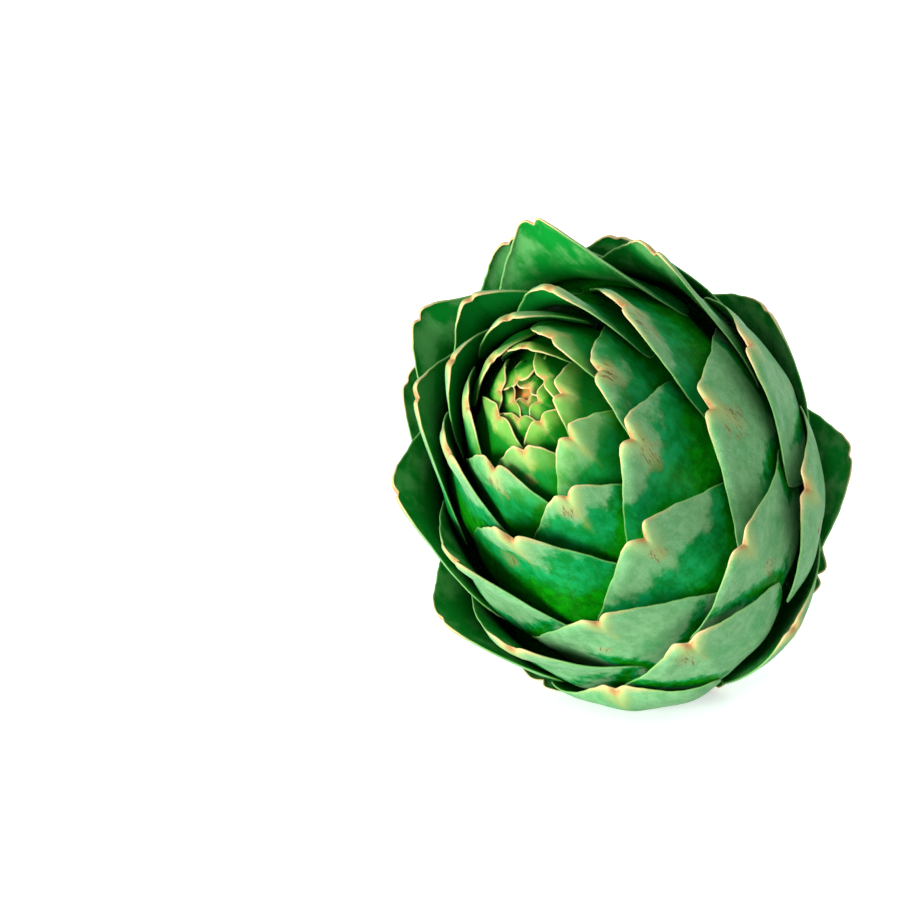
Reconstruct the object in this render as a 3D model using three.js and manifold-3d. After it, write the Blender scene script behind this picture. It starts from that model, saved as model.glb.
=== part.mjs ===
// A globe artichoke as picked: one head of overlapping bracts on a short cut stem, lying on its side.
// Millimetres, +Z up. The head is shaped round its own axis first (tip of the bud at z = 0, stem
// end below it), then it is tilted into the way it lies and set on the surface at z = 0.
import * as THREE from 'three';
import { mergeVertices } from 'three/addons/utils/BufferGeometryUtils.js';
import Module from 'manifold-3d';

const wasm = await Module();
wasm.setup();
const { Manifold, Mesh: SolidMesh } = wasm;

// Spiral: each bract grows one golden angle round from the one before it
const goldenAngle = 137.48;
const firstAzimuth = 322;
const firstBract = -16;
const lastBract = 46;

// Profile of the head, at chosen numbers along the spiral: number, radius, depth below the bud's tip.
// The first is the surface that the bracts lie against, the second is where their tips stand.
const bodyProfile = [
  [-18, 0, 2.6], [-8, 8.7, 2.6], [-1, 16, 6], [6, 25, 11.5], [13, 34.5, 22], [20, 45.5, 34.5],
  [27, 53.5, 48.5], [34, 56.5, 71.5], [41, 43, 95], [48, 24, 104.5], [58, 0, 108],
];
const tipProfile = [
  [-18, 0, 0.6], [-8, 7.3, -0.4], [-1, 16.5, -2], [6, 25.2, 2.3], [13, 40, 10], [20, 50.8, 27.5],
  [27, 55.6, 43.8], [34, 57.6, 70], [41, 48, 93.5], [48, 27, 103], [58, 0, 108],
];
const firstNumber = bodyProfile[0][0];
const lastNumber = bodyProfile[bodyProfile.length - 1][0];
const profileStep = 0.25;
const normalReach = 4;

// The head is a little oval across its axis
const ovalStretch = 0.09;
const ovalAzimuth = 108.5;

// Bract sizes, at numbers along the spiral
const halfWidthAt = [[-18, 6], [-8, 11], [0, 17], [8, 24.5], [16, 34], [28, 27], [36, 24], [43, 16], [50, 12]];
const bractLength = [[-18, 20], [-8, 26], [4, 35], [14, 41], [34, 40], [42, 30], [50, 20]];
const midThickness = 1.5;
const marginThickness = 0.8;

// Edge: the two lobes beside the notch as an offset and a height, each a size plus a share of the
// half-width, then the slope of the margin, its rounded shoulder and the taper down to the root
const lobeOffset = [1.2, 0.05];
const lobeHeight = [0.4, 0.075];
const edgeSlope = [[-18, 0.4], [12, 0.52], [50, 0.47]];
const shoulder = 0.08;
const shoulderPower = 8;
const shoulderReach = 1.02;
const rootTaper = 0.6;
const taperStart = 0.3;
const taperPower = 1.5;

// Lie: each bract sinks by a step for each younger one that it covers, its tip opens outwards, its
// margins curl in, and its root dives into the heart
const layerStep = [[-18, 0.4], [0, 0.52], [26, 0.52], [34, 0.55], [42, 0.7], [50, 0.8]];
const flareLength = 17;
const flarePower = 1.5;
const cupping = 0.25;
const leastBow = 10;
const mostBow = 60;
const leastSlant = 0.05;
const diveStart = 0.62;
const diveDepth = 8;

// Heart under the bracts: how far it lies below the body profile
const coreDepth = [[-18, 2.5], [-8, 6], [2, 9], [30, 10], [42, 7], [50, 3.5], [58, 3]];
const coreSides = 12;
const coreSpacing = 8;

// Columns across half a bract and rows down it, as fractions
const columns = [0.42, 0.76, 0.95];
const rows = [0, 0.3, 0.64, 1];
const innerColumns = [0.55, 0.94];
const innerRows = [0, 0.42, 1];
const innerBracts = 6;

// Small differences between the bracts
const seed = 20417;
const azimuthSpread = 2;
const liftSpread = 0.8;

// Bracts that stand off the spiral: number, degrees round, millimetres down the head, millimetres out
const strays = [
  [-7, 1, 0, 3], [-6, -1, -2, 0], [-2, 4, -2, 2], [0, -4, -1, 0], [2, 3, -1, 0], [5, 0, 2, 0],
  [6, 5, -1, 3], [8, -4, -1, 0], [10, -3, -1, 0], [11, 5, -2, 0], [12, -1, 0, -2], [13, -2, 2, 0],
  [14, -2, -2, 4], [15, 2, 2, 0], [16, -1, 2, -4], [17, 3, 0, 0], [19, 3, -1, 1], [20, 1, 0, 1],
  [21, -3, 2, 0], [23, 2, 0, 0], [24, 0, -2, 0], [27, 4, 1, 0], [28, 5, 0, 3], [29, 2, 2, 0],
  [31, 4, -6, -2], [32, 1, 2, 2], [34, 2, 0, 0], [36, 4, -3, 0], [37, -5, 0, 4], [39, -3, 6, 0],
];

// Cut stem
const stemRadius = 12.5;
const stemEndRadius = 11.5;
const stemTop = 104.8;
const stemLength = 17;
const stemSides = 24;
const contactGap = 0.35;

// How it lies: the camera-side axes of the head, and the depth of the flat spot that it rests on
const axisTilt = 32;
const axisTurn = 141.6;
const viewElevation = 20;
const flatSpotDepth = 5.5;
const floorSize = 400;

const degrees = Math.PI / 180;
const weldDistance = 1e-5;

// Random numbers from a seed, the same on every run
let randomState = seed;
function randomSpread(spread) {
  randomState = (16807 * randomState) % 2147483647;
  return spread * (2 * randomState / 2147483647 - 1);
}

// Value of a smooth curve through [place, value, ...] points, by cubic pieces with slopes from neighbours
function smoothValue(points, place, item = 1) {
  const last = points.length - 1;
  let i = 0;
  while (i < last - 1 && place > points[i + 1][0]) {
    i += 1;
  }
  const slope = (n) => {
    const before = points[Math.max(n - 1, 0)];
    const after = points[Math.min(n + 1, last)];
    return (after[item] - before[item]) / (after[0] - before[0]);
  };
  const span = points[i + 1][0] - points[i][0];
  const t = Math.min(Math.max((place - points[i][0]) / span, 0), 1);
  const start = points[i][item];
  const end = points[i + 1][item];
  const bend = slope(i) * span * t * (1 - t) ** 2 - slope(i + 1) * span * t * t * (1 - t);
  return start + (end - start) * t * t * (3 - 2 * t) + bend;
}

// Body profile as places along its length, with the spiral number, the point and the outward normal
const profileSamples = [];
for (let number = firstNumber; number <= lastNumber; number += profileStep) {
  const radius = smoothValue(bodyProfile, number, 1);
  const depth = smoothValue(bodyProfile, number, 2);
  const before = profileSamples[profileSamples.length - 1];
  const length = before ? before.length + Math.hypot(radius - before.radius, depth - before.depth) : 0;
  profileSamples.push({ number, radius, depth, length });
}

function lengthAtNumber(number) {
  const place = (number - firstNumber) / profileStep;
  const i = Math.min(Math.floor(place), profileSamples.length - 2);
  const t = place - i;
  return profileSamples[i].length * (1 - t) + profileSamples[i + 1].length * t;
}

function profileAtLength(length) {
  const end = profileSamples[profileSamples.length - 1].length;
  const place = Math.min(Math.max(length, profileStep / 10), end - profileStep / 10);
  let i = 1;
  while (profileSamples[i].length < place) {
    i += 1;
  }
  const a = profileSamples[i - 1];
  const b = profileSamples[i];
  const t = (place - a.length) / (b.length - a.length);
  const number = a.number * (1 - t) + b.number * t;
  const wide = profileSamples[Math.min(i + normalReach - 1, profileSamples.length - 1)];
  const near = profileSamples[Math.max(i - normalReach, 0)];
  const run = Math.hypot(wide.radius - near.radius, wide.depth - near.depth);
  const normalRadial = (wide.depth - near.depth) / run;
  const normalUp = (wide.radius - near.radius) / run;
  const radius = a.radius * (1 - t) + b.radius * t;
  const depth = a.depth * (1 - t) + b.depth * t;
  return { number, radius, depth, normalRadial, normalUp };
}

// Distance from the notch to the edge, along the bract, at a distance across it
function edgeStart(across, bract) {
  const { halfWidth } = bract;
  const lobe = lobeOffset[0] + lobeOffset[1] * halfWidth;
  const height = lobeHeight[0] + lobeHeight[1] * halfWidth;
  const offset = Math.abs(across);
  if (offset <= lobe) {
    return -height * offset / lobe;
  }
  const part = (offset - lobe) / (shoulderReach * halfWidth - lobe);
  const round = shoulder * halfWidth * Math.log(1 - part ** shoulderPower);
  return -height + bract.edgeSlope * (offset - lobe) - round;
}

// Point on a bract's outer face and the outward normal there, before the head is tilted
function bractPoint(bract, along, across) {
  const place = profileAtLength(bract.tipLength + along);
  const covered = Math.max(place.number - bract.number, 0);
  const past = Math.max(along - diveStart * bract.length, 0) / ((1 - diveStart) * bract.length);
  const depth = bract.layerStep * covered + diveDepth * past * past;
  const aside = Math.min(Math.abs(across) / bract.halfWidth, 1);
  const open = along < flareLength ? (1 - along / flareLength) ** 2 * (1 - aside ** flarePower) : 0;
  const radius = place.radius - place.normalRadial * depth + bract.flareOut * open;
  const height = -place.depth - place.normalUp * depth + bract.flareUp * open;
  const round = Math.min(place.radius / Math.max(place.normalRadial, leastSlant), mostBow);
  const bow = Math.max(round * (1 - cupping) - depth, leastBow);
  const bend = across / bow;
  const drop = bow * (1 - Math.cos(bend));
  const side = bow * Math.sin(bend);
  const out = radius - drop * place.normalRadial;
  const cosine = Math.cos(bract.azimuth);
  const sine = Math.sin(bract.azimuth);
  const point = new THREE.Vector3(
    out * cosine - side * sine,
    out * sine + side * cosine,
    height - drop * place.normalUp,
  );
  const tiltOut = place.normalRadial * Math.cos(bend);
  const normal = new THREE.Vector3(
    tiltOut * cosine - Math.sin(bend) * sine,
    tiltOut * sine + Math.sin(bend) * cosine,
    place.normalUp * Math.cos(bend),
  );
  return { point, normal: normal.normalize() };
}

// Closed blade from a grid of points on its two faces, split into triangles alike on both
function bladeGeometry(faces, rowCount, columnCount) {
  const positions = faces.flatMap((point) => point.toArray());
  const faceSize = rowCount * columnCount;
  const index = [];
  const quad = (a, b, c, d) => index.push(a, b, c, a, c, d);
  for (let r = 0; r < rowCount - 1; r += 1) {
    for (let c = 0; c < columnCount - 1; c += 1) {
      const a = r * columnCount + c;
      const b = a + 1;
      const e = a + columnCount;
      index.push(a, e, b, b, e, e + 1);
      index.push(a + faceSize, b + faceSize, e + faceSize);
      index.push(b + faceSize, e + 1 + faceSize, e + faceSize);
    }
  }
  const border = [];
  for (let c = 0; c < columnCount - 1; c += 1) {
    border.push(c);
  }
  for (let r = 0; r < rowCount - 1; r += 1) {
    border.push(r * columnCount + columnCount - 1);
  }
  for (let c = columnCount - 1; c > 0; c -= 1) {
    border.push((rowCount - 1) * columnCount + c);
  }
  for (let r = rowCount - 1; r > 0; r -= 1) {
    border.push(r * columnCount);
  }
  border.forEach((from, n) => {
    const to = border[(n + 1) % border.length];
    quad(from, to, to + faceSize, from + faceSize);
  });
  const geometry = new THREE.BufferGeometry();
  geometry.setAttribute('position', new THREE.Float32BufferAttribute(positions, 3));
  geometry.setIndex(index);
  return geometry;
}

function bractGeometry(bract) {
  const isInner = bract.number < innerBracts;
  const lobe = lobeOffset[0] / bract.halfWidth + lobeOffset[1];
  const half = [lobe, ...(isInner ? innerColumns : columns)];
  const rowParts = isInner ? innerRows : rows;
  const across = [...half.map((part) => -part).reverse(), 0, ...half];
  const outer = [];
  const inner = [];
  for (const row of rowParts) {
    for (const part of across) {
      const b = part * bract.halfWidth;
      const start = edgeStart(b, bract);
      const a = start + (bract.length - start) * row;
      const rooted = Math.max(a / bract.length - taperStart, 0) / (1 - taperStart);
      const taper = 1 - rootTaper * rooted ** taperPower;
      const { point, normal } = bractPoint(bract, a, b * taper);
      const edge = Math.max(Math.abs(part), row === 0 ? 1 : 0);
      const thickness = midThickness + (marginThickness - midThickness) * edge;
      outer.push(point);
      inner.push(point.clone().addScaledVector(normal, -thickness));
    }
  }
  return bladeGeometry([...outer, ...inner], rowParts.length, across.length);
}

// Solid of a closed geometry, with its faces pointing out
function solidOf(geometry) {
  const bare = geometry.clone();
  bare.deleteAttribute('normal');
  bare.deleteAttribute('uv');
  const merged = mergeVertices(bare, weldDistance);
  const build = (triVerts) => new Manifold(new SolidMesh({
    numProp: 3,
    vertProperties: new Float32Array(merged.attributes.position.array),
    triVerts,
  }));
  const triangles = new Uint32Array(merged.index.array);
  const solid = build(triangles);
  return solid.volume() > 0 ? solid : build(triangles.reverse());
}

function geometryOf(solid) {
  const mesh = solid.getMesh();
  const geometry = new THREE.BufferGeometry();
  const count = mesh.vertProperties.length / mesh.numProp;
  const positions = new Float32Array(count * 3);
  for (let i = 0; i < count; i += 1) {
    for (let n = 0; n < 3; n += 1) {
      positions[3 * i + n] = mesh.vertProperties[i * mesh.numProp + n];
    }
  }
  geometry.setAttribute('position', new THREE.BufferAttribute(positions, 3));
  geometry.setIndex(new THREE.BufferAttribute(new Uint32Array(mesh.triVerts), 1));
  return geometry;
}

// Lathe about the head's own axis
function turned(points, sides) {
  const geometry = new THREE.LatheGeometry(points.map(([radius, z]) => new THREE.Vector2(radius, z)), sides);
  return geometry.rotateX(Math.PI / 2);
}

// Heart of the head: the body profile, drawn in below the visible bracts
function coreSolid() {
  const points = [];
  for (let number = lastNumber; number >= firstNumber; number -= coreSpacing) {
    const place = profileAtLength(lengthAtNumber(number));
    const depth = smoothValue(coreDepth, number);
    const radius = Math.max(place.radius - place.normalRadial * depth, 0);
    points.push([radius, -place.depth - place.normalUp * depth]);
  }
  points[0][0] = 0;
  points[points.length - 1][0] = 0;
  return solidOf(turned(points, coreSides));
}

function bractList() {
  const bracts = [];
  for (let number = firstBract; number <= lastBract; number += 1) {
    const tipRadius = smoothValue(tipProfile, number, 1);
    const tipDepth = smoothValue(tipProfile, number, 2);
    const bodyRadius = smoothValue(bodyProfile, number, 1);
    const bodyDepth = smoothValue(bodyProfile, number, 2);
    const lift = randomSpread(liftSpread);
    const stray = strays.find(([strayNumber]) => strayNumber === number) ?? [number, 0, 0, 0];
    const [, strayTurn, straySlide, strayOut] = stray;
    const turn = randomSpread(azimuthSpread) + strayTurn;
    bracts.push({
      number,
      azimuth: (firstAzimuth + goldenAngle * number + turn) * degrees,
      halfWidth: smoothValue(halfWidthAt, number),
      length: smoothValue(bractLength, number),
      layerStep: smoothValue(layerStep, number),
      edgeSlope: smoothValue(edgeSlope, number),
      tipLength: lengthAtNumber(number) + straySlide,
      flareOut: tipRadius - bodyRadius + lift + strayOut,
      flareUp: bodyDepth - tipDepth + (lift + strayOut) / 2,
    });
  }
  return bracts;
}

// Stretch of the oval, then the tilt and turn of the head as it lies
function lyingMatrix() {
  const stretch = new THREE.Matrix4().makeRotationZ(ovalAzimuth * degrees)
    .multiply(new THREE.Matrix4().makeScale(1 + ovalStretch, 1 - ovalStretch, 1))
    .multiply(new THREE.Matrix4().makeRotationZ(-ovalAzimuth * degrees));
  const tilt = axisTilt * degrees;
  const turn = axisTurn * degrees;
  const axis = new THREE.Vector3(
    Math.sin(tilt) * Math.cos(turn),
    Math.sin(tilt) * Math.sin(turn),
    Math.cos(tilt),
  );
  const right = new THREE.Vector3(1, 0, 0).addScaledVector(axis, -axis.x).normalize();
  const up = new THREE.Vector3().crossVectors(axis, right);
  const seen = new THREE.Matrix4().makeBasis(right, up, axis);
  const raise = new THREE.Matrix4().makeRotationX((90 - viewElevation) * degrees);
  return raise.multiply(seen).multiply(stretch);
}

const bracts = bractList();
let headSolid = coreSolid();
for (const bract of bracts) {
  headSolid = headSolid.add(solidOf(bractGeometry(bract)));
}

const stemProfile = [
  [0, -stemTop], [stemRadius, -stemTop], [stemEndRadius, -stemTop - stemLength],
  [0, -stemTop - stemLength],
];
const clearProfile = [
  [0, -stemTop + contactGap], [stemRadius + contactGap, -stemTop + contactGap],
  [stemEndRadius + contactGap, -stemTop - 2 * stemLength], [0, -stemTop - 2 * stemLength],
];
headSolid = headSolid.subtract(solidOf(turned([...clearProfile].reverse(), stemSides)));

const lying = lyingMatrix();
let headGeometry = geometryOf(headSolid).applyMatrix4(lying);
let stemGeometry = turned([...stemProfile].reverse(), stemSides).applyMatrix4(lying);

// Down to the surface, with the lowest bracts pressed flat, and the origin under the middle of its box
headGeometry.computeBoundingBox();
const settle = -headGeometry.boundingBox.min.z - flatSpotDepth;
headGeometry.translate(0, 0, settle);
stemGeometry.translate(0, 0, settle);
const floorBox = new THREE.BoxGeometry(floorSize, floorSize, floorSize).translate(0, 0, -floorSize / 2);
headGeometry = geometryOf(solidOf(headGeometry).subtract(solidOf(floorBox)));

const whole = new THREE.Box3();
headGeometry.computeBoundingBox();
stemGeometry.computeBoundingBox();
whole.copy(headGeometry.boundingBox).union(stemGeometry.boundingBox);
const middle = whole.getCenter(new THREE.Vector3());
headGeometry.translate(-middle.x, -middle.y, 0);
stemGeometry.translate(-middle.x, -middle.y, 0);

const leafMaterial = new THREE.MeshStandardMaterial({ color: 0x2f9a55, roughness: 0.55, metalness: 0 });
const stemMaterial = new THREE.MeshStandardMaterial({ color: 0x9fbf7a, roughness: 0.7, metalness: 0 });

const head = new THREE.Mesh(headGeometry, leafMaterial);
head.name = 'head';
const stem = new THREE.Mesh(stemGeometry, stemMaterial);
stem.name = 'stem';

const group = new THREE.Group();
group.add(head, stem);

export default group;
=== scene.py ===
import math

import bpy
import numpy as np
from mathutils import Matrix, Vector


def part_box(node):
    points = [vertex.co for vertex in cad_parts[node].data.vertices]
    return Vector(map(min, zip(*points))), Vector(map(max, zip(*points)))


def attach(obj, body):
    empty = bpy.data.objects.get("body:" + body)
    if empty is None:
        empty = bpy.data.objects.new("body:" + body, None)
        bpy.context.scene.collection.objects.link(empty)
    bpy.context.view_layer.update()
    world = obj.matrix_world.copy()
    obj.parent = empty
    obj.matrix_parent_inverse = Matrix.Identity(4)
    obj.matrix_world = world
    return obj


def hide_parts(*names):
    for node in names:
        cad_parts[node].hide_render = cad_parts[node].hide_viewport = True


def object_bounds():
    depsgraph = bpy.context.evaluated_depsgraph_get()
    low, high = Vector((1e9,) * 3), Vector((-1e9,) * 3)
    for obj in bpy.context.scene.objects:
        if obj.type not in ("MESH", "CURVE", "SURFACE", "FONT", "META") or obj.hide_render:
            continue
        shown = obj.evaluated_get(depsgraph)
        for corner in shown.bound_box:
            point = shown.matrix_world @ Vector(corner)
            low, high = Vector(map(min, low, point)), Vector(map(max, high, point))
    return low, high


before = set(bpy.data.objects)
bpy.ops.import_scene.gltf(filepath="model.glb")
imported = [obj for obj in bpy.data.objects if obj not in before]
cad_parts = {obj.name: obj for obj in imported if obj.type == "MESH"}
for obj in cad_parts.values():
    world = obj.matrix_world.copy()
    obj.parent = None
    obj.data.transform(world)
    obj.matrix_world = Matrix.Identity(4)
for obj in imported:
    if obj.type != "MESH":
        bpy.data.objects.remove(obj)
cad_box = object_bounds()

# An artichoke head lying on its side. The bracts are shaped round the head's own axis first, in
# millimetres, with the bud's tip at z = 0, and then tilted and set down as the solids are.
MM = 0.001

# Spiral, as in the solids: bracts are numbered outwards from the bud
GOLDEN_ANGLE = 137.48
FIRST_AZIMUTH = 322
FIRST_BRACT = -16
LAST_BRACT = 46

# Profiles, as in the solids: number, radius and depth of the body and of the bracts' tips
BODY_PROFILE = (
    (-18, 0, 2.6), (-8, 8.7, 2.6), (-1, 16, 6), (6, 25, 11.5), (13, 34.5, 22), (20, 45.5, 34.5),
    (27, 53.5, 48.5), (34, 56.5, 71.5), (41, 43, 95), (48, 24, 104.5), (58, 0, 108),
)
TIP_PROFILE = (
    (-18, 0, 0.6), (-8, 7.3, -0.4), (-1, 16.5, -2), (6, 25.2, 2.3), (13, 40, 10), (20, 50.8, 27.5),
    (27, 55.6, 43.8), (34, 57.6, 70), (41, 48, 93.5), (48, 27, 103), (58, 0, 108),
)
OVAL_STRETCH = 0.09
OVAL_AZIMUTH = 108.5

# Bracts, as in the solids: values at numbers along the spiral
HALF_WIDTH = ((-18, 6), (-8, 11), (0, 17), (8, 24.5), (16, 34), (28, 27), (36, 24), (43, 16), (50, 12))
LENGTH = ((-18, 20), (-8, 26), (4, 35), (14, 41), (34, 40), (42, 30), (50, 20))
LAYER_STEP = ((-18, 0.4), (0, 0.52), (26, 0.52), (34, 0.55), (42, 0.7), (50, 0.8))
EDGE_SLOPE = ((-18, 0.4), (12, 0.52), (50, 0.47))
CORE_DEPTH = ((-18, 0.3), (-13, 1.6), (-8, 6), (2, 9), (30, 10), (42, 7), (50, 3.5), (58, 3))

# Form of every bract, as in the solids: a pair is a plain part and a part of the half width
LOBE_OFFSET = (1.2, 0.05)
LOBE_HEIGHT = (0.4, 0.075)
SHOULDER = 0.08
SHOULDER_POWER = 8
SHOULDER_REACH = 1.02
SHOULDER_LIMIT = 0.995
CUPPING = 0.25
LEAST_BOW = 10
MOST_BOW = 60
LEAST_RADIAL = 0.05
FLARE_LENGTH = 17
FLARE_NARROWING = 1.5
DIVE_START = 0.62
DIVE_DEPTH = 8
ROOT_TAPER = 0.6
TAPER_START = 0.3
TAPER_POWER = 1.5
BLADE_PART = 0.97
SEED = 20417
AZIMUTH_SPREAD = 2
LIFT_SPREAD = 0.8

# Bracts that stand off the spiral: number, degrees round, millimetres down the head, millimetres out
STRAYS = (
    (-7, 1, 0, 3), (-6, -1, -2, 0), (-2, 4, -2, 2), (0, -4, -1, 0), (2, 3, -1, 0), (5, 0, 2, 0),
    (6, 5, -1, 3), (8, -4, -1, 0), (10, -3, -1, 0), (11, 5, -2, 0), (12, -1, 0, -2), (13, -2, 2, 0),
    (14, -2, -2, 4), (15, 2, 2, 0), (16, -1, 2, -4), (17, 3, 0, 0), (19, 3, -1, 1), (20, 1, 0, 1),
    (21, -3, 2, 0), (23, 2, 0, 0), (24, 0, -2, 0), (27, 4, 1, 0), (28, 5, 0, 3), (29, 2, 2, 0),
    (31, 4, -6, -2), (32, 1, 2, 2), (34, 2, 0, 0), (36, 4, -3, 0), (37, -5, 0, 4), (39, -3, 6, 0),
)

# Stem, as in the solids
STEM_RADIUS = 12.5
STEM_END_RADIUS = 11.5
STEM_TOP = 104.8
STEM_LENGTH = 17
STEM_SIDES = 24

# How it lies, in degrees
AXIS_TILT = 32
AXIS_TURN = 141.6
VIEW_ELEVATION = 20

# Lowest part of the head, squeezed in between the surface and a height: how deep it would reach, and
# that height
PRESSED_DEPTH = 5.5
PRESSED_BELOW = 8

# Camera: where the photo shows the bud's tip, in its 900 pixels, and the size of a pixel there
PHOTO_SIZE = 900
BUD_PIXEL = (522.6, 393)
PIXEL_MM = 0.235
FOCAL_PIXELS = 3571
SENSOR_WIDTH = 36
VIEW_LIMIT = 20

# Thickness of a bract, its rounded edge, and how far its face and the heart are set in
MID_THICKNESS = 1.5
EDGE_THICKNESS = 0.4
THICKEN_WIDTH = 4
EDGE_ROUND = 0.14
SKIN_INSET = 0.1
HEART_INSET = 0.4

# Grid of a bract's face: closer rows near the tip, and columns in widths of a lobe beside the notch
ROWS = 28
ROW_POWER = 1.45
EDGE_COLUMNS = 15
LOBE_COLUMNS = (0.2, 0.4, 0.6, 0.8, 1, 1.2, 1.4, 1.7, 2.1)
MARGIN_POINTS = 49

# Lobes beside the notch, rounded where they meet the margin, and the small waves of the margin
LOBE_ROUND = 3.5
LOBE_REACH = 1.5
RISE_START = 0.25
WAVES = (0.16, 0.1)
WAVE_FADE = 4
SHALLOW_NOTCHES = (4, 6, 9, 12, 14, 17, 20, 22, 25, 27, 28, 32, 37)
SHALLOW_PART = 0.35

# Relief of the outer face. Midrib and groove at the notch: height, width and length. Swell behind the
# margin: height, distance from the margin, width, part of the half width. Ripples: height, how close
# they are across and along, how far they take to come in, least part. Twist: height and length.
MIDRIB = (0.35, 2.2, 16)
GROOVE = (-0.5, 1.1, 2.5)
SWELL = (0.45, 3.4, 2, 0.5)
RIPPLES = (0.35, 0.33, 0.16, 6, 0.2)
TWIST = (0.4, 14)

# Rolled-in tip: width of the strip, radius of the roll, its part of the half width, and how far it
# closes at numbers along the spiral
ROLL_WIDTH = 2.6
ROLL_RADIUS = 1.6
ROLL_PART = 0.42
ROLL = ((-18, 0.5), (-4, 0.6), (4, 1), (18, 0.95), (26, 0.6), (50, 0.5))
LEAST_ROLL = 0.01

# Scars: number of the bract, then millimetres across and along it, and size
SCARS = (
    (-3, -1.5, 5.7, 2), (2, 0.5, 3.6, 3), (3, -0.8, 3.4, 3.5), (5, -1.8, 3.7, 2.5), (8, -0.6, 5.5, 4),
    (10, -7.3, 8.7, 3.5), (11, -4.5, 3.9, 5), (13, -0.8, 5.3, 3), (16, 0.1, 7, 5), (18, -6.4, 11.9, 2.5),
    (21, 0, 15.3, 3), (24, -1.5, 24, 2), (26, -4, 4.2, 4), (29, -5.6, 9.8, 2.5), (36, 2, 9, 3),
)

# Steps along the spiral from a bract to the older ones that lie over it
COVER_STEPS = (2, 3, 5, 8, 10, 13)

# Further than any scar or margin can be
FAR = 99.0

# Marks of a point's side on a bract
OUTER_SIDE = 0
EDGE_SIDE = 0.5
INNER_SIDE = 1

# Turned body of the heart
HEART_SIDES = 64
HEART_STEP = 2
LEAST_RING = 0.05

# Ribbed stalk: points round and along it, ribs, slower swells, and how far in they are set
STALK_SIDES = 120
STALK_ROWS = 16
STALK_RIBS = 11
RIB_HEIGHT = 0.45
STALK_SWELLS = 4
SWELL_SHARE = 0.4
RIB_INSET = 0.55

# Cut end: radii of its rings, rounded rim, hollow in the pith and ridge round it
CUT_RADII = (11.2, 10.9, 10.2, 9.2, 7.5, 5.5, 3.5, 1.5, 0.2)
CUT_RIM = 0.3
CUT_INSET = 0.02
HOLLOW_DEPTH = 0.9
HOLLOW_RADIUS = 10.4
RIDGE_HEIGHT = 0.25
RIDGE_RADIUS = 9.2
RIDGE_WIDTH = 0.6

# Colours as seen on a screen, 0 to 255; the two of a pair are mixed by clouds, by streaks or by place
# The deep greens are partly painted shade beside the bracts that cover them
DEEP_AND_SHADED_GREENS = ((0, 100, 0), (4, 132, 2))
TEAL_GREENS = ((0, 124, 46), (14, 150, 80))
WAX_GREENS = ((106, 164, 108), (130, 180, 126))
WAX_THIN = (44, 148, 78)
WAX_PALE_SPECKS = (172, 186, 140)
WAX_DARK_SPECKS = (72, 140, 88)
YOUNG_GREENS = ((110, 164, 58), (14, 120, 8))
YOUNG_SHADOW = (4, 44, 4)
# The inner greens go from painted shade deep in the head to the open face near the tip
INNER_GREENS_WITH_SHADE = ((0, 104, 0), (6, 146, 46))
INNER_WAX = (116, 190, 112)
FIBRES = (150, 190, 110)
BLEMISHES = (40, 80, 20)
TIP_YELLOW = (186, 186, 106)
LOBE_CREAM = (210, 186, 128)
NOTCH_ORANGE = (192, 112, 60)
RIM_COLOURS = ((130, 186, 96), (228, 200, 142))
BRUISE = (170, 160, 104)
SCRATCHES = (108, 66, 36)
HEART_GREENS = ((16, 60, 14), (34, 92, 26))
HEART_TIP = ((236, 124, 52), (150, 150, 50))
HEART_BASE = ((98, 140, 74), (160, 180, 118))
STALK_GREENS = ((96, 138, 70), (168, 186, 120))
STALK_PATCHES = (130, 120, 70)
PITH = ((206, 204, 150), (176, 166, 104))
PITH_RING = (120, 130, 66)
CUT_BROWN = (134, 104, 60)

# Brightness of the studio on a white surface, which the colours as seen are divided by
BRIGHTNESS = 1.45

# Soft lights: name, place and size in metres, power in watts
LIGHTS = (
    ("key", (-0.9, -1, 0.2), 0.6, 40),
    ("top", (-0.1, -0.1, 1.3), 0.9, 3),
    ("back", (0.5, 1.3, 0.6), 0.7, 6),
)
LIGHTS_AIM = (0, 0, 0.05)
SKY_COLOUR = (0.97, 0.985, 1, 1)
FLOOR_COLOUR = (0.9, 0.92, 0.95, 1)
FLOOR_GLOW = 0.4
FLOOR_REACH = 8


def smooth_value(points, place, item=1):
    """Value at place of a smooth curve through (place, value, ...) points."""
    last = len(points) - 1
    i = 0
    while i < last - 1 and place > points[i + 1][0]:
        i += 1

    def slope(n):
        before = points[max(n - 1, 0)]
        after = points[min(n + 1, last)]
        return (after[item] - before[item]) / (after[0] - before[0])

    span = points[i + 1][0] - points[i][0]
    t = min(max((place - points[i][0]) / span, 0), 1)
    start = points[i][item]
    end = points[i + 1][item]
    bend = slope(i) * span * t * (1 - t) ** 2 - slope(i + 1) * span * t * t * (1 - t)
    return start + (end - start) * t * t * (3 - 2 * t) + bend


class Profile:
    """The surface that the bracts lie against, by its length from the bud's tip."""

    step = 0.25
    slope_steps = 3
    end_gap = 0.01

    def __init__(self):
        first = BODY_PROFILE[0][0]
        count = int((BODY_PROFILE[-1][0] - first) / self.step) + 1
        self.number = first + self.step * np.arange(count)
        self.radius = np.array([smooth_value(BODY_PROFILE, n, 1) for n in self.number])
        self.depth = np.array([smooth_value(BODY_PROFILE, n, 2) for n in self.number])
        run = np.hypot(np.diff(self.radius), np.diff(self.depth))
        self.length = np.concatenate([[0], np.cumsum(run)])

    def length_at(self, number):
        return np.interp(number, self.number, self.length)

    def at(self, length):
        """Number, radius, depth and the two parts of the outward normal, at lengths."""
        place = np.clip(length, self.end_gap, self.length[-1] - self.end_gap)
        i = np.searchsorted(self.length, place)
        after = np.minimum(i + self.slope_steps, len(self.length) - 1)
        before = np.maximum(i - 1 - self.slope_steps, 0)
        rise = self.depth[after] - self.depth[before]
        widen = self.radius[after] - self.radius[before]
        run = np.hypot(rise, widen)
        number = np.interp(place, self.length, self.number)
        radius = np.interp(place, self.length, self.radius)
        depth = np.interp(place, self.length, self.depth)
        return number, radius, depth, rise / run, widen / run


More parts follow.
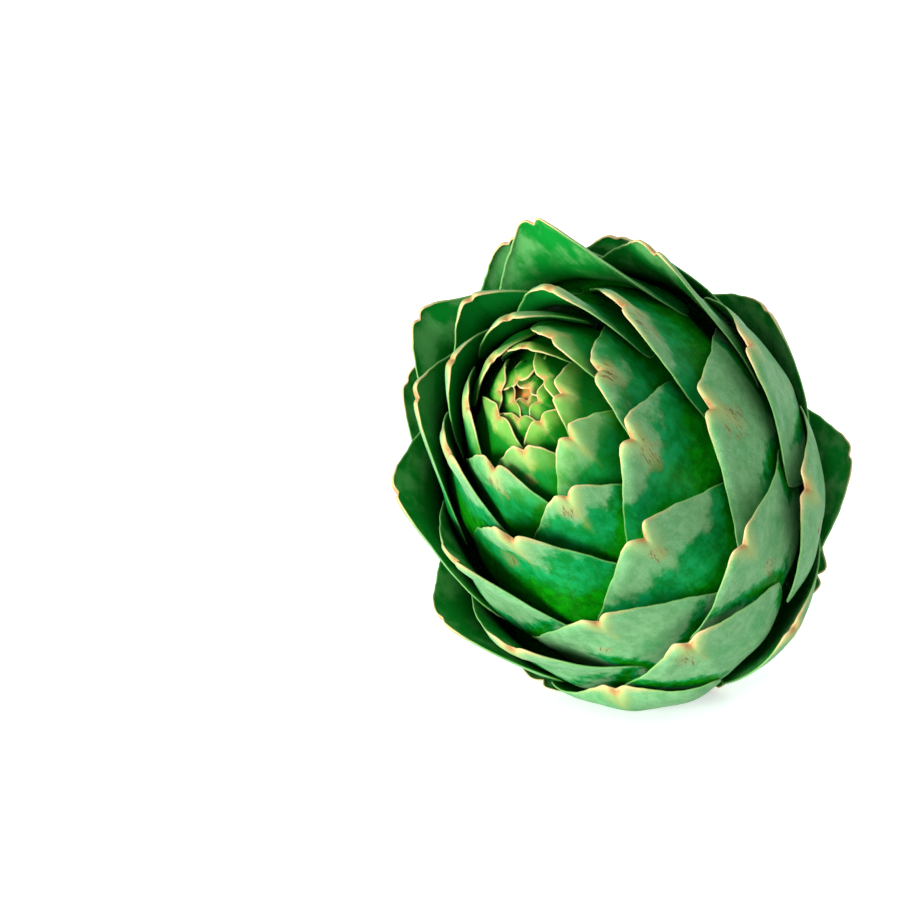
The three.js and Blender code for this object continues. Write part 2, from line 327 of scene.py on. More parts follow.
class Spread:
    """Random numbers from a seed, the same as in the solids."""

    factor = 16807
    modulus = 2147483647

    def __init__(self, seed):
        self.state = seed

    def draw(self, spread):
        self.state = (self.factor * self.state) % self.modulus
        return spread * (2 * self.state / self.modulus - 1)


profile = Profile()


def bract_list():
    """All bracts with their places and measures, from the bud outwards."""
    spread = Spread(SEED)
    strays = {number: shift for number, *shift in STRAYS}
    bracts = []
    for number in range(FIRST_BRACT, LAST_BRACT + 1):
        lift = spread.draw(LIFT_SPREAD)
        turn = spread.draw(AZIMUTH_SPREAD)
        stray_turn, stray_slide, stray_out = strays.get(number, (0, 0, 0))
        out = smooth_value(TIP_PROFILE, number, 1) - smooth_value(BODY_PROFILE, number, 1)
        up = smooth_value(BODY_PROFILE, number, 2) - smooth_value(TIP_PROFILE, number, 2)
        bracts.append({
            "number": number,
            "azimuth": math.radians(FIRST_AZIMUTH + GOLDEN_ANGLE * number + turn + stray_turn),
            "half_width": smooth_value(HALF_WIDTH, number),
            "length": smooth_value(LENGTH, number),
            "layer_step": smooth_value(LAYER_STEP, number),
            "edge_slope": smooth_value(EDGE_SLOPE, number),
            "tip_length": profile.length_at(number) + stray_slide,
            "flare_out": out + lift + stray_out,
            "flare_up": up + (lift + stray_out) / 2,
        })
    return bracts


def lying_matrix():
    """The head's oval stretch, then its tilt and turn."""
    stretch = Matrix.Rotation(math.radians(OVAL_AZIMUTH), 3, "Z")
    stretch = stretch @ Matrix.Diagonal((1 + OVAL_STRETCH, 1 - OVAL_STRETCH, 1))
    stretch = stretch @ Matrix.Rotation(math.radians(-OVAL_AZIMUTH), 3, "Z")
    tilt = math.radians(AXIS_TILT)
    turn = math.radians(AXIS_TURN)
    axis = Vector((math.sin(tilt) * math.cos(turn), math.sin(tilt) * math.sin(turn), math.cos(tilt)))
    right = (Vector((1, 0, 0)) - axis * axis.x).normalized()
    up = axis.cross(right)
    seen = Matrix((right, up, axis)).transposed()
    return Matrix.Rotation(math.radians(90 - VIEW_ELEVATION), 3, "X") @ seen @ stretch


def bud_tip_place(lying):
    """Where the bud's tip is in the frame, from the corner of the stem's box."""
    rings = []
    for radius, depth in ((STEM_RADIUS, STEM_TOP), (STEM_END_RADIUS, STEM_TOP + STEM_LENGTH)):
        for side in range(STEM_SIDES):
            angle = 2 * math.pi * side / STEM_SIDES
            rings.append(lying @ Vector((radius * math.sin(angle), -radius * math.cos(angle), -depth)))
    low = Vector([min(p[n] for p in rings) for n in range(3)])
    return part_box("stem")[0] - low * MM


lying = lying_matrix()
bud_tip = bud_tip_place(lying)


def set_down(points):
    """Points in the head's own millimetres to the frame, squeezed where they meet the surface."""
    turned = points @ np.array(lying).T * MM + np.array(bud_tip)
    height = turned[..., 2] / MM
    span = PRESSED_BELOW + PRESSED_DEPTH
    part = np.clip((height + PRESSED_DEPTH) / span, 0, 1)
    pressed = PRESSED_BELOW * part ** (span / PRESSED_BELOW)
    turned[..., 2] = np.where(height < PRESSED_BELOW, pressed, height) * MM
    return np.clip(turned, np.array(cad_box[0]), np.array(cad_box[1]))


def bract_random(number):
    """What differs by chance from one bract to the next."""
    draw = np.random.default_rng(SEED + number)
    lobe_offset = draw.uniform(0.8, 1.25, 2)
    lobe_height = draw.uniform(0.65, 1.3, 2)
    wave = (draw.uniform(0.5, 0.8), draw.uniform(1.2, 1.9))
    phase = draw.uniform(0, 6.28, 4)
    shade = draw.uniform(0, 1)
    # Only the second of this pair is used
    _, twist = draw.uniform(-1, 1, 2)
    return {
        "lobe_offset": lobe_offset,
        "lobe_height": lobe_height,
        "wave": wave,
        "phase": phase,
        "shade": shade,
        "twist": twist,
    }


def by_half_width(pair, bract):
    """A measure with a plain part and a part of the bract's half width."""
    return pair[0] + pair[1] * bract["half_width"]


def edge_start(across, bract, random):
    """Distance from the notch to the edge along the bract, at distances across it."""
    half_width = bract["half_width"]
    side = np.where(across < 0, 0, 1)
    lobe = by_half_width(LOBE_OFFSET, bract) * random["lobe_offset"][side]
    height = by_half_width(LOBE_HEIGHT, bract) * random["lobe_height"][side]
    notch_part = SHALLOW_PART if bract["number"] in SHALLOW_NOTCHES else 1
    offset = np.abs(across)
    part = np.clip((offset - lobe) / (SHOULDER_REACH * half_width - lobe), 0, SHOULDER_LIMIT)
    rounded = np.sin(np.clip(offset / (LOBE_REACH * lobe), 0, 1) * math.pi / 2)
    notch = notch_part * rounded + 1 - notch_part
    past_lobe = np.maximum(offset - RISE_START * lobe, 0)
    rise = bract["edge_slope"] * (np.hypot(past_lobe, LOBE_ROUND) - LOBE_ROUND)
    shoulder = -SHOULDER * half_width * np.log(1 - part ** SHOULDER_POWER)
    wave = 0
    for size, spacing, phase in zip(WAVES, random["wave"], random["phase"]):
        wave = wave + size * np.sin(across * spacing + phase)
    fade = np.clip((offset - lobe) / WAVE_FADE, 0, 1)
    return rise + shoulder + wave * fade - height * notch


def bract_surface(bract, along, across):
    """Outer face of a bract and its outward normal, in the head's own frame."""
    number, radius, depth, normal_radial, normal_up = profile.at(bract["tip_length"] + along)
    covered = np.maximum(number - bract["number"], 0)
    past = np.maximum(along - DIVE_START * bract["length"], 0) / ((1 - DIVE_START) * bract["length"])
    sunk = bract["layer_step"] * covered + DIVE_DEPTH * past * past
    flare = np.where(along < FLARE_LENGTH, (1 - along / FLARE_LENGTH) ** 2, 0)
    flare = flare * (1 - np.minimum(np.abs(across) / bract["half_width"], 1) ** FLARE_NARROWING)
    out = radius - normal_radial * sunk + bract["flare_out"] * flare
    height = -depth - normal_up * sunk + bract["flare_up"] * flare
    bow = np.minimum(radius / np.maximum(normal_radial, LEAST_RADIAL), MOST_BOW)
    bow = np.maximum(bow * (1 - CUPPING) - sunk, LEAST_BOW)
    bend = across / bow
    drop = bow * (1 - np.cos(bend))
    side = bow * np.sin(bend)
    out = out - drop * normal_radial
    height = height - drop * normal_up
    cosine = math.cos(bract["azimuth"])
    sine = math.sin(bract["azimuth"])
    points = np.stack([out * cosine - side * sine, out * sine + side * cosine, height], -1)
    tilt = normal_radial * np.cos(bend)
    lean = np.sin(bend)
    lift = normal_up * np.cos(bend)
    normals = np.stack([tilt * cosine - lean * sine, tilt * sine + lean * cosine, lift], -1)
    normals /= np.linalg.norm(normals, axis=-1, keepdims=True)
    return points, normals


def bract_grid(bract, random):
    """Places along and across a bract for each point of its grid, and its distance from the edge."""
    reach = BLADE_PART * bract["half_width"]
    lobe = by_half_width(LOBE_OFFSET, bract)
    next_column = 2 * LOBE_COLUMNS[-1] - LOBE_COLUMNS[-2]
    near = lobe * np.array(LOBE_COLUMNS)
    far = np.linspace(lobe * next_column, reach, EDGE_COLUMNS)
    half = np.concatenate([near, far])
    across = np.concatenate([-half[::-1], [0], half])
    start = edge_start(across, bract, random)
    down = (np.arange(ROWS) / (ROWS - 1)) ** ROW_POWER
    along = start + (bract["length"] - start) * down[:, None]
    past = np.maximum(along / bract["length"] - TAPER_START, 0) / (1 - TAPER_START)
    taper = 1 - ROOT_TAPER * past ** TAPER_POWER
    from_top = (along - start) / math.hypot(1, bract["edge_slope"])
    from_side = (reach - np.abs(across)) * taper
    return along, across * taper, np.minimum(from_top, from_side)


def margin_line(bract):
    """The two margins of a bract as points, from end to end."""
    reach = BLADE_PART * bract["half_width"]
    across = np.linspace(-reach, reach, MARGIN_POINTS)
    along = edge_start(across, bract, bract_random(bract["number"]))
    return bract_surface(bract, along, across)[0]


def from_covers(points, covers):
    """Distance of each point from the nearest margin of the bracts that lie over it."""
    nearest = np.full(points.shape[:-1], FAR)
    for line in covers:
        start = line[:-1]
        run = line[1:] - start
        offset = points[..., None, :] - start
        part = np.clip((offset * run).sum(-1) / (run * run).sum(-1), 0, 1)
        gap = np.linalg.norm(offset - run * part[..., None], axis=-1)
        nearest = np.minimum(nearest, gap.min(-1))
    return nearest


def bell(distance, width):
    """1 at no distance, falling smoothly to both sides."""
    return np.exp(-((distance / width) ** 2))


def midline_ridge(form, across, from_tip):
    """Ridge or groove along the midline that fades away from the tip."""
    height, width, length = form
    return height * bell(across, width) * np.exp(-from_tip / length)


def bract_relief(bract, along, across, edge, random):
    """How far the outer face stands off its plain surface: midrib, groove, swell, ripples and twist."""
    half_width = bract["half_width"]
    from_tip = np.maximum(along, 0)
    relief = midline_ridge(MIDRIB, across, from_tip) + midline_ridge(GROOVE, across, from_tip)
    height, from_edge, width, part = SWELL
    relief = relief + height * bell(edge - from_edge, width) * bell(across, part * half_width)
    height, close_across, close_along, come_in, least = RIPPLES
    ripples = np.sin(across * close_across + random["phase"][2])
    ripples = ripples * np.sin(along * close_along + random["phase"][3])
    relief = relief + height * ripples * np.clip(edge / come_in, least, 1)
    height, length = TWIST
    return relief + height * random["twist"] * across / half_width * np.exp(-from_tip / length)


def roll_in(bract, across, edge):
    """Rolled strip at the tip: how far each point moves down the bract and into the head."""
    near_middle = bell(across, ROLL_PART * bract["half_width"])
    closing = np.maximum(smooth_value(ROLL, bract["number"]) * near_middle, LEAST_ROLL)
    radius = ROLL_RADIUS / closing
    strip = np.maximum(ROLL_WIDTH - edge, 0)
    angle = strip / radius
    return strip - radius * np.sin(angle), radius * (1 - np.cos(angle))


def face_normals(points, guide):
    """Normals of a grid of points, on the side that the guide points to."""
    down = np.gradient(points, axis=0)
    aside = np.gradient(points, axis=1)
    normals = np.cross(down, aside)
    normals /= np.linalg.norm(normals, axis=-1, keepdims=True)
    middle = guide.shape[0] // 2
    return normals * np.sign((normals[middle] * guide[middle]).sum())


def new_object(name, points, faces, marks):
    """A smooth mesh object, with marks at its points for its material to read."""
    mesh = bpy.data.meshes.new(name)
    mesh.from_pydata([tuple(p) for p in points], [], faces)
    mesh.polygons.foreach_set("use_smooth", [True] * len(faces))
    for key, values in marks.items():
        layer = mesh.attributes.new(key, "FLOAT_VECTOR", "POINT")
        layer.data.foreach_set("vector", np.asarray(values, dtype=np.float32).ravel())
    mesh.validate()
    mesh.update()
    piece = bpy.data.objects.new(name, mesh)
    bpy.context.collection.objects.link(piece)
    return piece


def border_of(rows, columns):
    """Numbers of the points round the edge of a grid."""
    top = list(range(columns - 1))
    right = [r * columns + columns - 1 for r in range(rows - 1)]
    bottom = [(rows - 1) * columns + c for c in range(columns - 1, 0, -1)]
    left = [r * columns for r in range(rows - 1, 0, -1)]
    return top + right + bottom + left


def edge_ring(outer, inner, border):
    """Points along a blade's edge, a little outside the middle between its two faces."""
    rows, columns = outer.shape[:2]
    row = np.clip(np.arange(rows), 1, rows - 2)
    column = np.clip(np.arange(columns), 1, columns - 2)
    inside = (row[:, None] * columns + column).reshape(-1)[border]
    middle = ((outer + inner) / 2).reshape(-1, 3)
    away = middle[border] - middle[inside]
    away /= np.linalg.norm(away, axis=-1, keepdims=True)
    return middle[border] + away * EDGE_ROUND


def blade_faces(rows, columns, border):
    """Faces of a blade's outer side, inner side and rounded edge."""
    size = rows * columns
    faces = []
    for row in range(rows - 1):
        for column in range(columns - 1):
            a = row * columns + column
            b = a + columns
            faces.append((a, b, b + 1, a + 1))
            faces.append((size + a, size + a + 1, size + b + 1, size + b))
    count = len(border)
    for n in range(count):
        m = (n + 1) % count
        ring = 2 * size + n
        ring_next = 2 * size + m
        faces.append((border[n], border[m], ring_next, ring))
        faces.append((ring, ring_next, size + border[m], size + border[n]))
    return faces


def scar_places(bract, blade):
    """Where each point lies from the middle of its bract's scar, in sizes of the scar."""
    scars = {number: scar for number, *scar in SCARS}
    if bract["number"] not in scars:
        return np.full(blade.shape, FAR)
    across, along, size = scars[bract["number"]]
    return np.stack([(blade[:, 0] - across) / size, (blade[:, 1] - along) / size, blade[:, 2]], -1)


def bract_marks(bract, blade, open_skin, border, shade):
    """Marks of a bract: place on the blade, then side, age and shade, then open skin, then scar."""
    size = len(blade)
    blade = np.concatenate([blade, blade, blade[border]])
    kind = np.zeros_like(blade)
    kind[:, 0] = np.repeat([OUTER_SIDE, INNER_SIDE, EDGE_SIDE], [size, size, len(border)])
    kind[:, 1] = (bract["number"] - FIRST_BRACT) / (LAST_BRACT - FIRST_BRACT)
    kind[:, 2] = shade
    skin = np.zeros_like(blade)
    skin[:, 0] = np.concatenate([open_skin, open_skin, open_skin[border]])
    return {"blade": blade, "kind": kind, "skin": skin, "scar": scar_places(bract, blade)}


def make_bract(bract, material, covers):
    """One bract as a closed thin blade with a rolled, notched tip."""
    random = bract_random(bract["number"])
    along, across, edge = bract_grid(bract, random)
    shift, sink = roll_in(bract, across, edge)
    points, normals = bract_surface(bract, along + shift, across)
    relief = bract_relief(bract, along, across, edge, random) - sink - SKIN_INSET
    thickness = EDGE_THICKNESS + (MID_THICKNESS - EDGE_THICKNESS) * (1 - np.exp(-edge / THICKEN_WIDTH))
    outer = points + normals * relief[..., None]
    inner = outer - face_normals(outer, normals) * thickness[..., None]
    border = border_of(*along.shape)
    ring = edge_ring(outer, inner, border)
    everything = np.concatenate([outer.reshape(-1, 3), inner.reshape(-1, 3), ring])
    faces = blade_faces(*along.shape, border)
    blade = np.stack([across, along, edge], -1).reshape(-1, 3)
    open_skin = from_covers(points, covers).reshape(-1)
    marks = bract_marks(bract, blade, open_skin, border, random["shade"])
    name = f"bract_{bract['number'] - FIRST_BRACT + 1:02d}"
    piece = new_object(name, set_down(everything), faces, marks)
    piece.data.materials.append(material)
    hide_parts("head")
    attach(piece, "root")


def colour(seen):
    """A colour given as seen on a screen, as the linear one that a shader takes."""
    def linear(value):
        part = value / 255
        return part / 12.92 if part <= 0.04045 else ((part + 0.055) / 1.055) ** 2.4
    return tuple(linear(value) / BRIGHTNESS for value in seen) + (1.0,)


class Value:
    """A number or colour inside a node tree, which takes part in plain arithmetic."""

    def __init__(self, nodes, socket):
        self.nodes = nodes
        self.socket = socket

    def __add__(self, other):
        return self.nodes.math("ADD", self, other)

    def __sub__(self, other):
        return self.nodes.math("SUBTRACT", self, other)

    def __mul__(self, other):
        return self.nodes.math("MULTIPLY", self, other)

    def __truediv__(self, other):
        return self.nodes.math("DIVIDE", self, other)


class Nodes:
    """Short calls for building a material's node tree."""

    def __init__(self, name):
        self.material = bpy.data.materials.new(name)
        self.material.use_nodes = True
        self.tree = self.material.node_tree
        self.shader = self.tree.nodes["Principled BSDF"]

    def add(self, kind, **settings):
        node = self.tree.nodes.new(kind)
        for key, value in settings.items():
            setattr(node, key, value)
        return node

    def feed(self, source, target):
        """Give a socket a value of the tree, a colour as seen, or a plain number."""
        if isinstance(source, Value):
            self.tree.links.new(source.socket, target)
        elif isinstance(source, tuple):
            target.default_value = colour(source)
        else:
            target.default_value = source

    def finish(self, **inputs):
        """Feed the shader's inputs, named with _ for a space, and give the material."""
        for name, source in inputs.items():
            self.feed(source, self.shader.inputs[name.replace("_", " ")])
        return self.material

    def math(self, operation, *values):
        node = self.add("ShaderNodeMath", operation=operation)
        for value, socket in zip(values, node.inputs):
            self.feed(value, socket)
        return Value(self, node.outputs[0])

    def step(self, value, low, high):
        """0 at low and 1 at high, smoothly, where low may be the higher number."""
        node = self.add("ShaderNodeMapRange", interpolation_type="SMOOTHSTEP")
        self.feed(value, node.inputs["Value"])
        self.feed(low, node.inputs["From Min"])
        self.feed(high, node.inputs["From Max"])
        return Value(self, node.outputs["Result"])

    def mix(self, part, base, other):
        """The base where part is 0, and the other colour where it is 1."""
        node = self.add("ShaderNodeMix", data_type="RGBA")
        self.feed(part, node.inputs[0])
        self.feed(base, node.inputs[6])
        self.feed(other, node.inputs[7])
        return Value(self, node.outputs[2])

    def tint(self, base, other, where, strength):
        """The base, tinted with another colour where a mask is 1."""
        return self.mix(where * strength, base, other)

    def noise(self, seat, scale, detail=3, roughness=0.55):
        node = self.add("ShaderNodeTexNoise")
        self.feed(seat, node.inputs["Vector"])
        node.inputs["Scale"].default_value = scale
        node.inputs["Detail"].default_value = detail
        node.inputs["Roughness"].default_value = roughness
        return Value(self, node.outputs["Fac"])

    def streaks(self, around, down, scale):
        """Streaks along a stalk, from the angle round it and a stretched length down it."""
        return self.noise(self.combine(around, down, 0.0), scale, detail=4)

    def combine(self, x, y, z):
        node = self.add("ShaderNodeCombineXYZ")
        for value, socket in zip((x, y, z), node.inputs):
            self.feed(value, socket)
        return Value(self, node.outputs[0])

    def place(self):
        """The place in metres."""
        return Value(self, self.add("ShaderNodeTexCoord").outputs["Object"])

    def marks(self, name):
        """The three numbers of a mark."""
        node = self.add("ShaderNodeAttribute", attribute_name=name)
        parts = self.add("ShaderNodeSeparateXYZ")
        self.tree.links.new(node.outputs["Vector"], parts.inputs[0])
        return [Value(self, socket) for socket in parts.outputs]

    def bump(self, height, strength, distance, under=None):
        node = self.add("ShaderNodeBump")
        node.inputs["Strength"].default_value = strength
        node.inputs["Distance"].default_value = distance
        self.feed(height, node.inputs["Height"])
        if under is not None:
            self.feed(under, node.inputs["Normal"])
        return Value(self, node.outputs[0])


class BractSkin(Nodes):
    """Skin of the bracts, coloured by the place on the bract, its age and what covers it.

    Distances are in millimetres. Age goes from 0 for the innermost bract to 1 for the outermost. Each
    bract has its own place in the noise, far from the others'.
    """

    def __init__(self):
        super().__init__("bract_skin")
        self.across, self.along, self.edge = self.marks("blade")
        self.inner, self.age, self.shade = self.marks("kind")
        self.open_skin = self.marks("skin")[0]
        self.offset = self.math("ABSOLUTE", self.across)
        self.down = self.math("MAXIMUM", self.along, 0)
        self.seat = self.combine(self.across, self.along, self.shade * 400)
        self.patch = self.noise(self.seat, scale=0.11, detail=4, roughness=0.6)
        self.cloud = self.noise(self.seat, scale=0.35, detail=4, roughness=0.65)
        self.fine = self.noise(self.seat, scale=1.1, roughness=0.65)
        fibre_seat = self.combine(self.across, self.along * 0.06, self.shade * 50)
        self.fibre = self.noise(fibre_seat, scale=1.8, roughness=0.6)
        self.ragged = (self.cloud - 0.5) * 4
        self.cloudy = self.step(self.cloud, 0.36, 0.66)
        self.face = self.step(self.inner, 0.9, EDGE_SIDE)
        self.grown = self.step(self.age, 0, 0.46) * 0.7 + 0.3

    def wax(self):
        """Grey-green bloom, thin in patches, with fine specks."""
        speck = self.noise(self.seat, scale=3.2, detail=2, roughness=0.7)
        wax = self.mix(self.cloudy, *WAX_GREENS)
        wax = self.tint(wax, WAX_THIN, self.step(self.patch, 0.46, 0.7), strength=0.5)
        wax = self.tint(wax, WAX_PALE_SPECKS, self.step(speck, 0.5, 0.7), strength=0.4)
        return self.tint(wax, WAX_DARK_SPECKS, self.step(speck, 0.46, 0.3), strength=0.3)

    def outer_face(self):
        """Deep green where it was covered, partly bare skin and partly painted shade beside the bracts
        over it, then teal, then wax towards the tip; and where wax is.
        """
        wax_end = self.age * 14 + 2.5 + self.step(self.age, 0.42, 0.6) * 30
        reach = self.offset * 0.25 + self.along + (self.patch - 0.5) * 22
        from_cover = self.open_skin + self.ragged
        tealed = self.step(reach, wax_end + 11, wax_end + 1) * self.step(from_cover, 2, 3.4)
        waxed = self.step(reach, wax_end, wax_end - 4) * self.step(from_cover, 3, 4.4)
        # Deep green near the margins of the bracts over it is bare skin and partly painted shade from
        # them
        deep_and_shaded = self.mix(self.cloudy, *DEEP_AND_SHADED_GREENS)
        teal = self.mix(self.cloudy, *TEAL_GREENS)
        green = self.mix(tealed, deep_and_shaded, teal)
        return self.tint(green, self.wax(), waxed, strength=0.85), waxed

    def young_face(self):
        """Yellow-green tips over a clear green, with painted shadow where others cover them."""
        below_tip = self.step((self.along + self.ragged) / self.grown, 3, 9)
        green = self.mix(below_tip, *YOUNG_GREENS)
        # Painted shadow close to the margins of the bracts over it
        return self.mix(self.step(self.open_skin, 2.4, 0.4), green, YOUNG_SHADOW)

    def inner_face(self):
        """Green, darker further from the tip as painted shade, with a little bloom towards the tip."""
        # Painted shade: the inner face darkens further from the tip, deeper in the head
        green = self.mix(self.step(self.along, 20, 2), *INNER_GREENS_WITH_SHADE)
        bloom = self.step(self.patch, 0.42, 0.62) * self.step(self.along, 16, 4)
        return self.tint(green, INNER_WAX, bloom * self.step(self.age, 0.42, 0.48), strength=0.7)

    def margins(self, skin):
        """Yellow-tan at the tip, cream on the rolled lobes, orange in the notch and a pale rim."""
        spread = self.offset * 0.7 + (self.down * 0.36 + self.ragged)
        glow = self.step(spread / self.grown, 4.4, 0.2) * self.face
        skin = self.tint(skin, TIP_YELLOW, glow, strength=0.58)
        blotch = (self.fine * 1.4 + (self.offset * 0.13 + self.edge)) / self.grown
        lobe = self.step(blotch, 2.9, 1.1) * self.face
        skin = self.tint(skin, LOBE_CREAM, lobe, strength=0.72)
        from_notch = self.offset * 1.1 + (self.fine * 1.5 + self.down)
        notch = self.step(from_notch, 3.2, 1.2) * self.face
        skin = self.tint(skin, NOTCH_ORANGE, notch, strength=0.6)
        near_tip = self.step(self.offset, 10, 4)
        rim = self.mix(near_tip, *RIM_COLOURS)
        return self.tint(skin, rim, self.step(self.edge, 0.4, 0.08), strength=near_tip * 0.3 + 0.5)

    def scars(self, skin):
        """Faint tan bruises with a few thin dark scratches in them."""
        across, along, _ = self.marks("scar")
        from_scar = self.math("SQRT", across * across + along * along) + (self.cloud - 0.5) * 2.4
        bruise = self.step(from_scar, 1, 0.4) * self.face
        seat = self.combine(self.along * 0.4 + self.across, self.along * 0.25, self.shade)
        lines = self.step(self.noise(seat, scale=1.5, detail=4, roughness=0.75), 0.53, 0.58)
        skin = self.tint(skin, BRUISE, bruise, strength=0.3)
        return self.tint(skin, SCRATCHES, lines * bruise, strength=0.8)

    def build(self):
        """All of it together, as a material."""
        young = self.step(self.age, 0.36, 0.12)
        outer, waxed = self.outer_face()
        outer = self.tint(outer, self.young_face(), young, strength=0.9)
        skin = self.mix(self.step(self.inner, 0.55, 0.95), outer, self.inner_face())
        skin = self.tint(skin, FIBRES, self.step(self.fibre, 0.5, 0.78), strength=0.04)
        skin = self.tint(skin, BLEMISHES, self.step(self.fine, 0.62, 0.8), strength=0.1)
        skin = self.scars(self.margins(skin))
        roughness = self.fine * 0.1 + (waxed * 0.12 + 0.46)
        fibres = self.bump(self.fibre, strength=0.15, distance=0.0004)
        grain = self.noise(self.place(), scale=900, detail=2)
        normal = self.bump(grain, strength=0.12, distance=0.0003, under=fibres)
        return self.finish(Base_Color=skin, Roughness=roughness, Specular_IOR_Level=0.07, Normal=normal)


def heart_material():
    """Dark green flesh, orange at the bud's tip and pale and streaked at the base."""
    n = Nodes("heart_skin")
    place = n.place()
    around, depth, _ = n.marks("blade")
    flesh = n.mix(n.noise(place, scale=120), *HEART_GREENS)
    tip = n.mix(n.step(n.noise(place, scale=900), 0.4, 0.6), *HEART_TIP)
    streaks = n.streaks(around * 9, depth * 0.08, scale=2)
    base = n.mix(n.step(streaks, 0.35, 0.7), *HEART_BASE)
    skin = n.mix(n.step(depth, 88, 98), flesh, base)
    return n.finish(Base_Color=n.mix(n.step(depth, 6, 4.6), skin, tip), Roughness=0.7)


def turned_faces(rings, sides, upwards):
    """Faces of a closed turned body whose rings follow each other upwards or downwards."""
    faces = []
    for ring in range(rings - 1):
        for side in range(sides):
            a = ring * sides + side
            b = ring * sides + (side + 1) % sides
            wall = (a, b, b + sides, a + sides)
            faces.append(wall if upwards else wall[:1] + wall[:0:-1])
    first = tuple(range(sides))
    last = tuple(range((rings - 1) * sides, rings * sides))
    faces.extend((first[::-1], last) if upwards else (first, last[::-1]))
    return faces


def make_heart(material):
    """The heart that the bracts grow from, a smooth turned body below them."""
    numbers = range(BODY_PROFILE[-1][0], BODY_PROFILE[0][0] - 1, -HEART_STEP)
    points = []
    marks = []
    for number in numbers:
        _, radius, depth, radial, up = profile.at(profile.length_at(number))
        sunk = smooth_value(CORE_DEPTH, number) + HEART_INSET
        ring = max(float(radius - radial * sunk), LEAST_RING)
        height = float(-depth - up * sunk)
        for side in range(HEART_SIDES):
            angle = 2 * math.pi * side / HEART_SIDES
            points.append((ring * math.cos(angle), ring * math.sin(angle), height))
            marks.append((angle, -height, 0.0))
    faces = turned_faces(len(numbers), HEART_SIDES, upwards=True)
    heart = new_object("heart", set_down(np.array(points)), faces, {"blade": marks})
    heart.data.materials.append(material)
    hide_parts("head")
    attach(heart, "root")


def stem_material():
    """Streaked green stalk, and a cut end with pale pith, a green ring and a browned rim."""
    n = Nodes("stem_skin")
    around, down, cut = n.marks("blade")
    place = n.place()
    streaks = n.streaks(around * 6, down * 0.03, scale=2.5)
    patch = n.noise(place, scale=90)
    skin = n.mix(n.step(streaks, 0.35, 0.7), *STALK_GREENS)
    skin = n.tint(skin, STALK_PATCHES, n.step(patch, 0.55, 0.75), strength=0.4)
    from_ridge = n.math("ABSOLUTE", down - RIDGE_RADIUS)
    end = n.mix(n.step(from_ridge, 1.4, 0.4), n.mix(patch, *PITH), PITH_RING)
    end = n.mix(n.step(down, 10.4, 11.4), end, CUT_BROWN)
    grain = n.bump(streaks + n.noise(place, scale=1400), strength=0.5, distance=0.0004)
    return n.finish(Base_Color=n.mix(cut, skin, end), Roughness=0.68, Normal=grain)


def make_stem(material):
    """Ribbed cut stub with a slightly hollowed end."""
    points = []
    marks = []

    def add_ring(radius, down, ribbing, turning, mark, cut):
        for side in range(STALK_SIDES):
            angle = 2 * math.pi * side / STALK_SIDES
            ribs = math.cos(STALK_RIBS * angle) ** 2 + SWELL_SHARE * math.cos(STALK_SWELLS * angle + 1)
            reach = radius + (RIB_HEIGHT * ribs - RIB_INSET) * ribbing
            points.append((reach * math.cos(angle), reach * math.sin(angle), -STEM_TOP - down))
            marks.append((angle * turning, mark, cut))

    for row in range(STALK_ROWS):
        part = row / (STALK_ROWS - 1)
        radius = STEM_RADIUS + (STEM_END_RADIUS - STEM_RADIUS) * part
        add_ring(radius, (STEM_LENGTH - CUT_RIM) * part, 1, 1, STEM_LENGTH * part, 0)
    for radius in CUT_RADII:
        hollow = HOLLOW_DEPTH * max(0, 1 - (radius / HOLLOW_RADIUS) ** 2)
        ridge = RIDGE_HEIGHT * math.exp(-((radius - RIDGE_RADIUS) / RIDGE_WIDTH) ** 2)
        down = STEM_LENGTH - CUT_INSET - hollow - ridge
        add_ring(radius, down, radius / STEM_END_RADIUS, 0, radius, 1)
    faces = turned_faces(STALK_ROWS + len(CUT_RADII), STALK_SIDES, upwards=False)
    stem = new_object("stem_stub", set_down(np.array(points)), faces, {"blade": marks})
    stem.data.materials.append(material)
    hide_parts("stem")
    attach(stem, "root")


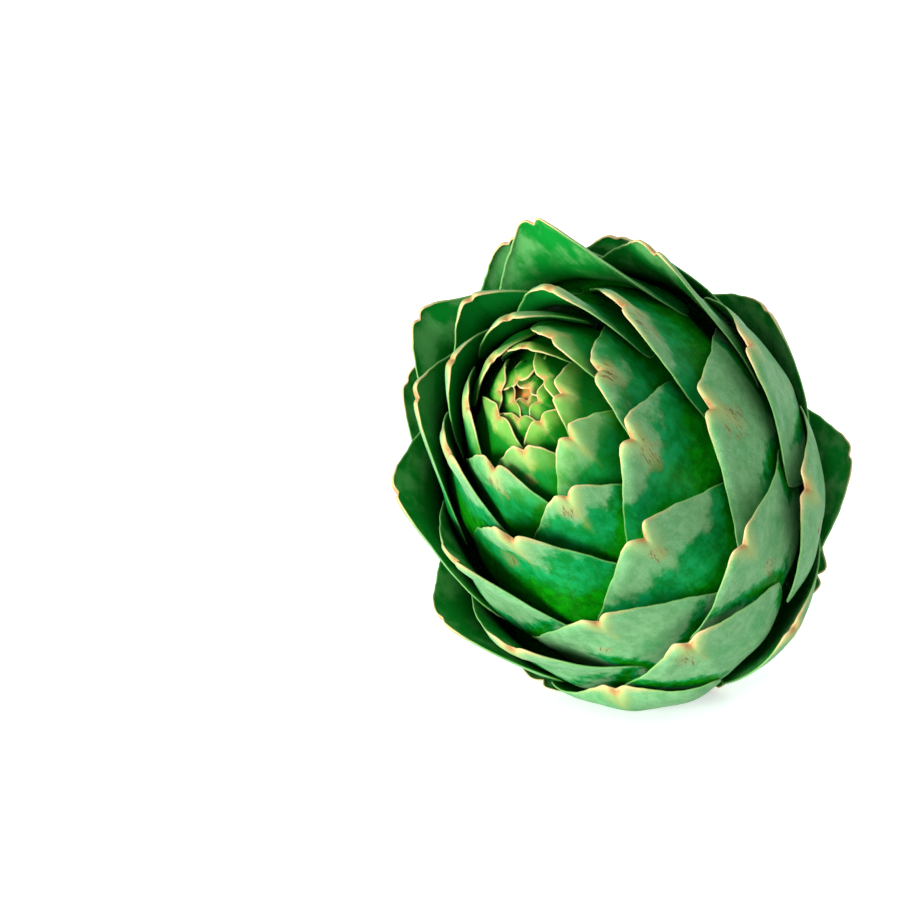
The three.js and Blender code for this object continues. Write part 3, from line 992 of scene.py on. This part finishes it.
def make_camera():
    """Camera at the photo's viewing angle, with the bud's tip where the photo shows it."""
    elevation = math.radians(VIEW_ELEVATION)
    forward = Vector((0, math.cos(elevation), -math.sin(elevation)))
    right = Vector((1, 0, 0))
    up = right.cross(forward)
    middle = PHOTO_SIZE / 2
    pixel = PIXEL_MM * MM
    aim = bud_tip - right * (BUD_PIXEL[0] - middle) * pixel - up * (middle - BUD_PIXEL[1]) * pixel
    place = aim - forward * FOCAL_PIXELS * pixel
    data = bpy.data.cameras.new("camera")
    data.sensor_width = SENSOR_WIDTH
    data.lens = SENSOR_WIDTH * FOCAL_PIXELS / PHOTO_SIZE
    data.clip_end = VIEW_LIMIT
    camera = bpy.data.objects.new("camera", data)
    camera.matrix_world = Matrix.Translation(place) @ Matrix((right, up, -forward)).transposed().to_4x4()
    bpy.context.collection.objects.link(camera)
    bpy.context.scene.camera = camera


def make_light(name, place, size, power):
    """Round soft light aimed at the head."""
    data = bpy.data.lights.new(name, "AREA")
    data.shape = "DISK"
    data.size = size
    data.energy = power
    light = bpy.data.objects.new(name, data)
    light.location = place
    light.rotation_euler = (Vector(LIGHTS_AIM) - Vector(place)).to_track_quat("-Z", "Y").to_euler()
    bpy.context.collection.objects.link(light)


def make_sky():
    """Even white light from all round."""
    world = bpy.data.worlds.new("studio")
    world.use_nodes = True
    background = world.node_tree.nodes["Background"]
    background.inputs["Color"].default_value = SKY_COLOUR
    background.inputs["Strength"].default_value = 1
    bpy.context.scene.world = world
    bpy.context.scene.view_settings.view_transform = "Standard"


def make_floor():
    """Plain white floor, with a slight glow so that it looks as white as the background."""
    mesh = bpy.data.meshes.new("floor")
    corners = [(x * FLOOR_REACH, y * FLOOR_REACH, 0) for x, y in ((-1, -1), (1, -1), (1, 1), (-1, 1))]
    mesh.from_pydata(corners, [], [(0, 1, 2, 3)])
    n = Nodes("floor_white")
    n.shader.inputs["Base Color"].default_value = FLOOR_COLOUR
    n.shader.inputs["Emission Color"].default_value = (1, 1, 1, 1)
    mesh.materials.append(n.finish(Emission_Strength=FLOOR_GLOW, Roughness=0.8))
    floor = bpy.data.objects.new("floor", mesh)
    bpy.context.collection.objects.link(floor)


def make_head():
    """The heart with all its bracts, each with the margins of the bracts that lie over it."""
    skin = BractSkin().build()
    make_heart(heart_material())
    bracts = bract_list()
    margins = [margin_line(bract) for bract in bracts]
    for place, bract in enumerate(bracts):
        covers = [margins[place + step] for step in COVER_STEPS if place + step < len(bracts)]
        make_bract(bract, skin, covers)


make_camera()
for light in LIGHTS:
    make_light(*light)
make_sky()
make_floor()
make_head()
make_stem(stem_material())
